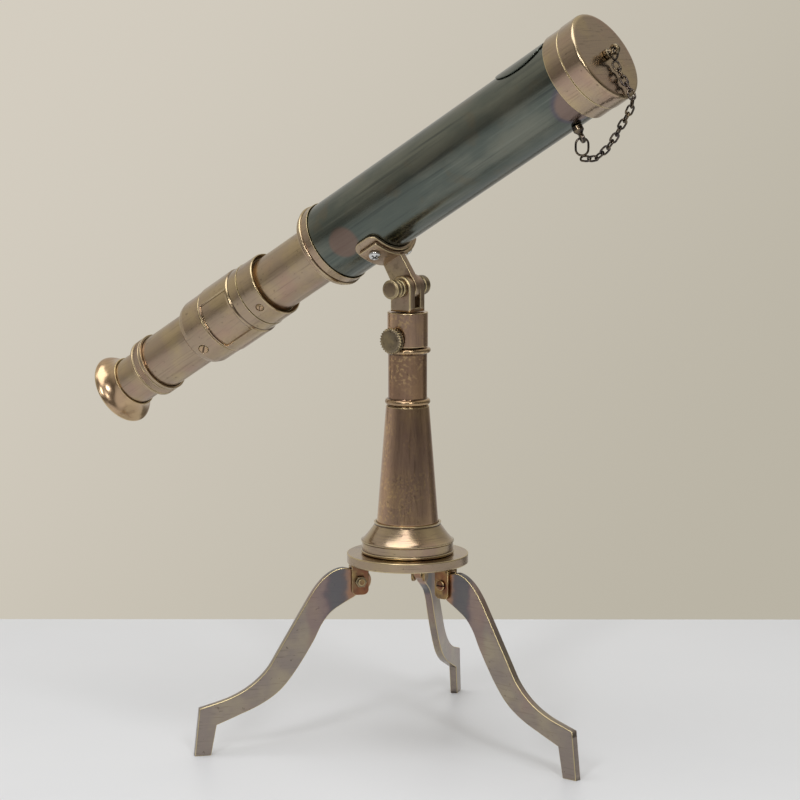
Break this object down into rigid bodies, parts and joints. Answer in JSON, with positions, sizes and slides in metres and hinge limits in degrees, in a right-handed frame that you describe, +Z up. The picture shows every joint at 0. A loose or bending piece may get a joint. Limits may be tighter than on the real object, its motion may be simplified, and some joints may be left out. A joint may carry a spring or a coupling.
{
  "type": "telescope on tripod",
  "caption": "Antique brass table telescope with a sliding draw tube, turning focus grip and chained lens cap, tilting and panning on a turned column with folding swan-neck legs.",
  "frame": {"origin": "centre of the bounding box seen from above, on the surface the feet stand on", "axes": "+Z up; the telescope lies in the XZ plane with its objective towards +X and the knobs on the -Y side"},
  "size_m": [0.363, 0.21, 0.4092],
  "materials": {
    "antique_brass": "aged, hand-polished brass with a brown-mauve tone",
    "polished_brass": "brighter worn brass",
    "dark_barrel": "brass under a dark green-grey patina",
    "dark_knurled": "dark, matt turned brass",
    "steel_screw": "bright plated screw",
    "heat_tinted": "brass with heat colours",
    "chain_bronze": "dark bronze wire",
    "optical_glass": "clear ground glass"
  },
  "bodies": {
    "tripod_base": {"base_disc": "antique_brass", "base_flange": "antique_brass", "column_cone": "antique_brass", "column_neck": "antique_brass", "tie_bolt": "dark_knurled", "leg_bracket_1": "heat_tinted", "hinge_pin_1": "heat_tinted", "hinge_nut_1": "dark_knurled", "leg_bracket_2": "heat_tinted", "hinge_pin_2": "heat_tinted", "hinge_nut_2": "dark_knurled", "leg_bracket_3": "heat_tinted", "hinge_pin_3": "heat_tinted", "hinge_nut_3": "dark_knurled"},
    "leg_1_body": {"leg_1": "antique_brass"},
    "leg_2_body": {"leg_2": "antique_brass"},
    "leg_3_body": {"leg_3": "antique_brass"},
    "head": {"head_sleeve": "antique_brass", "fork": "antique_brass", "pivot_bolt": "dark_knurled"},
    "thumb_screw_body": {"thumb_screw": "dark_knurled"},
    "pivot_nut_body": {"pivot_nut": "dark_knurled"},
    "barrel": {"main_barrel": "dark_barrel", "barrel_rear_ring": "antique_brass", "oval_plaque": "dark_barrel", "saddle_pad": "antique_brass", "cradle_bracket": "antique_brass", "cradle_screw_near": "steel_screw", "cradle_screw_far": "steel_screw", "objective_cell": "antique_brass", "objective_lens": "optical_glass", "lens_retaining_ring": "dark_knurled", "barrel_chain_post": "chain_bronze", "chain_shackle": "chain_bronze", "chain_barrel_run": "chain_bronze"},
    "cap": {"lens_cap": "antique_brass", "cap_swivel_post": "chain_bronze", "cap_ring": "chain_bronze", "chain_cap_run": "chain_bronze"},
    "draw": {"large_draw_tube": "antique_brass", "draw_stop_bush": "dark_knurled", "focus_sleeve": "dark_knurled", "rear_shoulder": "antique_brass", "collar_screw": "antique_brass", "collar_front_ring": "antique_brass", "ring_screw": "polished_brass"},
    "grip": {"focus_grip": "antique_brass"},
    "eye_tube": {"small_draw_tube": "antique_brass", "focus_key": "steel_screw", "knurled_ring": "antique_brass", "erector_tube": "dark_knurled", "erector_lens_rear": "optical_glass", "erector_lens_front": "optical_glass"},
    "eyepiece": {"ocular_tube": "antique_brass", "field_lens": "optical_glass", "eye_lens": "optical_glass", "eye_cup": "polished_brass"}
  },
  "joints": [
    {"name": "leg_fold_1", "type": "hinge", "parent": "tripod_base", "child": "leg_1_body", "pos_m": [0.02729, 0.01595, 0.0946], "axis": [-0.9367, -0.3502, 0], "range_deg": [0, 48]},
    {"name": "leg_fold_2", "type": "hinge", "parent": "tripod_base", "child": "leg_2_body", "pos_m": [0.01886, -0.03191, 0.0946], "axis": [0.7604, -0.6494, 0], "range_deg": [0, 48]},
    {"name": "leg_fold_3", "type": "hinge", "parent": "tripod_base", "child": "leg_3_body", "pos_m": [0.06519, -0.01366, 0.0946], "axis": [0.1132, 0.9936, 0], "range_deg": [0, 48]},
    {"name": "head_pan", "type": "hinge", "parent": "tripod_base", "child": "head", "pos_m": [0.03717, -0.01047, 0.235], "axis": [0, 0, 1], "continuous": true},
    {"name": "thumb_screw_turn", "type": "hinge", "parent": "head", "child": "thumb_screw_body", "pos_m": [0.03717, -0.02447, 0.2299], "axis": [0, -1, 0], "range_deg": [0, 180]},
    {"name": "pivot_nut_turn", "type": "hinge", "parent": "head", "child": "pivot_nut_body", "pos_m": [0.03717, 0.00153, 0.2583], "axis": [0, 1, 0], "range_deg": [0, 180]},
    {"name": "tilt", "type": "hinge", "parent": "head", "child": "barrel", "pos_m": [0.03717, -0.01047, 0.2583], "axis": [0, -1, 0], "range_deg": [-75, 43]},
    {"name": "draw_slide", "type": "slide", "parent": "barrel", "child": "draw", "axis": [0.8526, 0, 0.5225], "range_m": [0, 0.04]},
    {"name": "focus_turn", "type": "hinge", "parent": "draw", "child": "grip", "pos_m": [-0.08088, -0.01047, 0.2385], "axis": [0.8526, 0, 0.5225], "range_deg": [0, 150]},
    {"name": "focus_slide", "type": "slide", "parent": "draw", "child": "eye_tube", "axis": [0.8526, 0, 0.5225], "range_m": [0, 0.008]},
    {"name": "eyepiece_slide", "type": "slide", "parent": "eye_tube", "child": "eyepiece", "axis": [0.8526, 0, 0.5225], "range_m": [0, 0.01]},
    {"name": "cap_slide", "type": "slide", "parent": "barrel", "child": "cap", "axis": [0.8526, 0, 0.5225], "range_m": [0, 0.016]}
  ],
  "couplings": [
    {"joint": "focus_turn", "follows": "focus_slide", "rad_per_m": 327.2}
  ]
}
